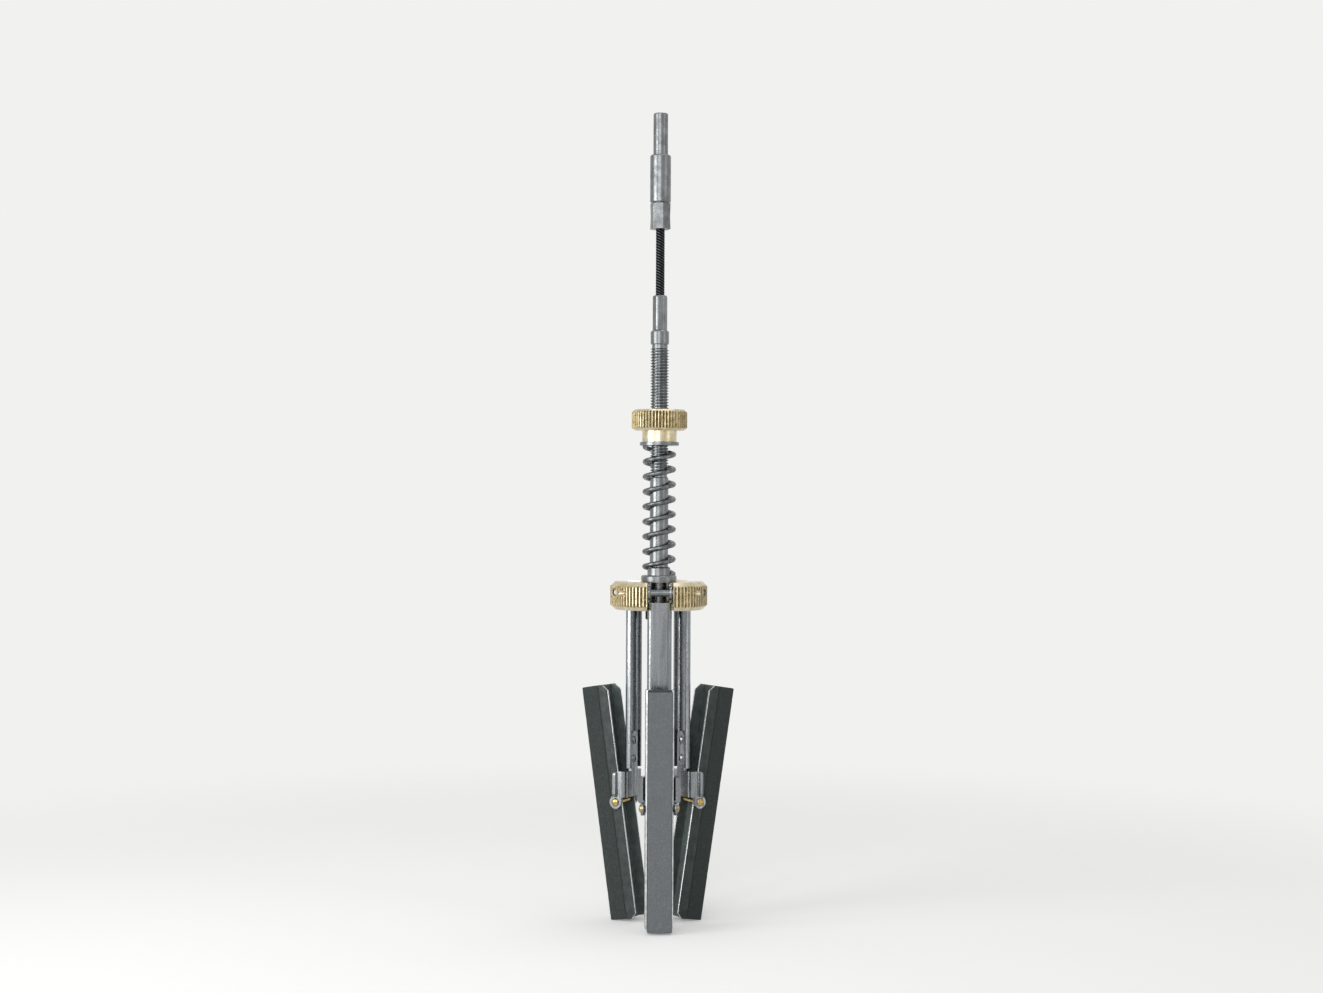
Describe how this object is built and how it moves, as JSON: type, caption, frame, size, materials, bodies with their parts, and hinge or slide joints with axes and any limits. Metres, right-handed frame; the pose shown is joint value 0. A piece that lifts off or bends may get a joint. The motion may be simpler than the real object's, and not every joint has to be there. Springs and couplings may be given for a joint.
{
  "type": "cylinder hone",
  "caption": "Spring-loaded engine cylinder hone: round drive shank, flexible cable, tension nut and spring, knurled spider, hinged channel arms and rocking stone shoes.",
  "frame": {"origin": "on the hone's axis, at the middle of the drive shank's free length", "axes": "+Z along the hone's axis towards the free end of the shank; the front leg points to -Y, the other legs 120 degrees either side"},
  "size_m": [0.0666, 0.0512, 0.3503],
  "materials": {
    "nickel_steel": "polished nickel-plated steel",
    "cable_steel": "oiled stranded steel wire",
    "bright_steel": "turned bright steel",
    "spring_steel": "drawn spring wire",
    "brass": "knurled brass",
    "brassed_steel": "brass-plated rivet steel",
    "zinc_steel": "bright zinc-plated sheet",
    "shoe_steel": "dark sheet steel with bright cut edges",
    "abrasive": "bonded abrasive grit"
  },
  "bodies": {
    "drive_end": {"drive_shank": "nickel_steel", "drive_ferrule": "nickel_steel"},
    "flexible_shaft": {"flexible_shaft": "cable_steel"},
    "spindle": {"spindle": "bright_steel", "spider": "brass", "spindle_washer": "bright_steel", "spindle_nut": "bright_steel", "arm_pin_front": "bright_steel", "arm_pin_right": "bright_steel", "arm_pin_left": "bright_steel"},
    "spring_washer": {"spring_washer": "bright_steel"},
    "tension_nut": {"tension_nut": "brass"},
    "thrust_collar": {"thrust_collar": "bright_steel", "compression_spring": "spring_steel"},
    "arm_front": {"arm_front": "zinc_steel", "yoke_front": "zinc_steel", "yoke_rivets_front": "zinc_steel"},
    "shoe_pin_front": {"shoe_pin_front": "brassed_steel"},
    "shoe_front": {"shoe_front": "shoe_steel", "stone_front": "abrasive"},
    "arm_right": {"arm_right": "zinc_steel", "yoke_right": "zinc_steel", "yoke_rivets_right": "zinc_steel"},
    "shoe_pin_right": {"shoe_pin_right": "brassed_steel"},
    "shoe_right": {"shoe_right": "shoe_steel", "stone_right": "abrasive"},
    "arm_left": {"arm_left": "zinc_steel", "yoke_left": "zinc_steel", "yoke_rivets_left": "zinc_steel"},
    "shoe_pin_left": {"shoe_pin_left": "brassed_steel"},
    "shoe_left": {"shoe_left": "shoe_steel", "stone_left": "abrasive"}
  },
  "joints": [
    {"name": "shaft_bend_x", "type": "hinge", "parent": "drive_end", "child": "flexible_shaft", "pos_m": [0, 0, -0.04835], "axis": [1, 0, 0], "range_deg": [-15, 15], "stiffness_Nm_per_rad": 0.6, "deforming": ["flexible_shaft"]},
    {"name": "shaft_bend_y", "type": "hinge", "parent": "flexible_shaft", "child": "spindle", "pos_m": [0, 0, -0.06265], "axis": [0, 1, 0], "range_deg": [-15, 15], "stiffness_Nm_per_rad": 0.6, "deforming": ["flexible_shaft"]},
    {"name": "washer_travel", "type": "slide", "parent": "spindle", "child": "spring_washer", "axis": [0, 0, -1], "range_m": [-0.01013, 0.01013], "deforming": ["compression_spring"]},
    {"name": "tension_nut_turn", "type": "hinge", "parent": "spring_washer", "child": "tension_nut", "pos_m": [0, 0, -0.126], "axis": [0, 0, -1], "range_deg": [-2880, 2880]},
    {"name": "thrust_collar_travel", "type": "slide", "parent": "spindle", "child": "thrust_collar", "axis": [0, 0, -1], "range_m": [-0.0003, 0.00524], "deforming": ["compression_spring"]},
    {"name": "arm_swing_front", "type": "hinge", "parent": "spindle", "child": "arm_front", "pos_m": [0, -0.013, -0.198], "axis": [-1, 0, 0], "range_deg": [-1.5, 42.8]},
    {"name": "shoe_level_front", "type": "hinge", "parent": "arm_front", "child": "shoe_pin_front", "pos_m": [0, -0.0168, -0.2894], "axis": [-1, 0, 0], "range_deg": [-42.9, 1.6]},
    {"name": "shoe_rock_front", "type": "hinge", "parent": "shoe_pin_front", "child": "shoe_front", "pos_m": [0, -0.0168, -0.2894], "axis": [1, 0, 0], "range_deg": [-3.4, 9.1]},
    {"name": "arm_swing_right", "type": "hinge", "parent": "spindle", "child": "arm_right", "pos_m": [0.01126, 0.0065, -0.198], "axis": [0.5, -0.866, 0], "range_deg": [-1.6, 42.9]},
    {"name": "shoe_level_right", "type": "hinge", "parent": "arm_right", "child": "shoe_pin_right", "pos_m": [0.01455, 0.0084, -0.2894], "axis": [0.5, -0.866, 0], "range_deg": [-42.9, 1.6]},
    {"name": "shoe_rock_right", "type": "hinge", "parent": "shoe_pin_right", "child": "shoe_right", "pos_m": [0.01455, 0.0084, -0.2894], "axis": [-0.5, 0.866, 0], "range_deg": [-11.9, 0.6]},
    {"name": "arm_swing_left", "type": "hinge", "parent": "spindle", "child": "arm_left", "pos_m": [-0.01126, 0.0065, -0.198], "axis": [0.5, 0.866, 0], "range_deg": [-1.6, 42.9]},
    {"name": "shoe_level_left", "type": "hinge", "parent": "arm_left", "child": "shoe_pin_left", "pos_m": [-0.01455, 0.0084, -0.2894], "axis": [0.5, 0.866, 0], "range_deg": [-42.9, 1.6]},
    {"name": "shoe_rock_left", "type": "hinge", "parent": "shoe_pin_left", "child": "shoe_left", "pos_m": [-0.01455, 0.0084, -0.2894], "axis": [-0.5, -0.866, 0], "range_deg": [-10.9, 1.6]}
  ],
  "couplings": [
    {"joint": "washer_travel", "follows": "tension_nut_turn", "m_per_rad": 0.00019894},
    {"joint": "thrust_collar_travel", "follows": "arm_swing_front", "m_per_rad": 0.0067403},
    {"joint": "shoe_level_front", "follows": "arm_swing_front", "ratio": -1},
    {"joint": "arm_swing_right", "follows": "arm_swing_front", "ratio": 1},
    {"joint": "shoe_level_right", "follows": "arm_swing_front", "ratio": -1},
    {"joint": "arm_swing_left", "follows": "arm_swing_front", "ratio": 1},
    {"joint": "shoe_level_left", "follows": "arm_swing_front", "ratio": -1}
  ]
}
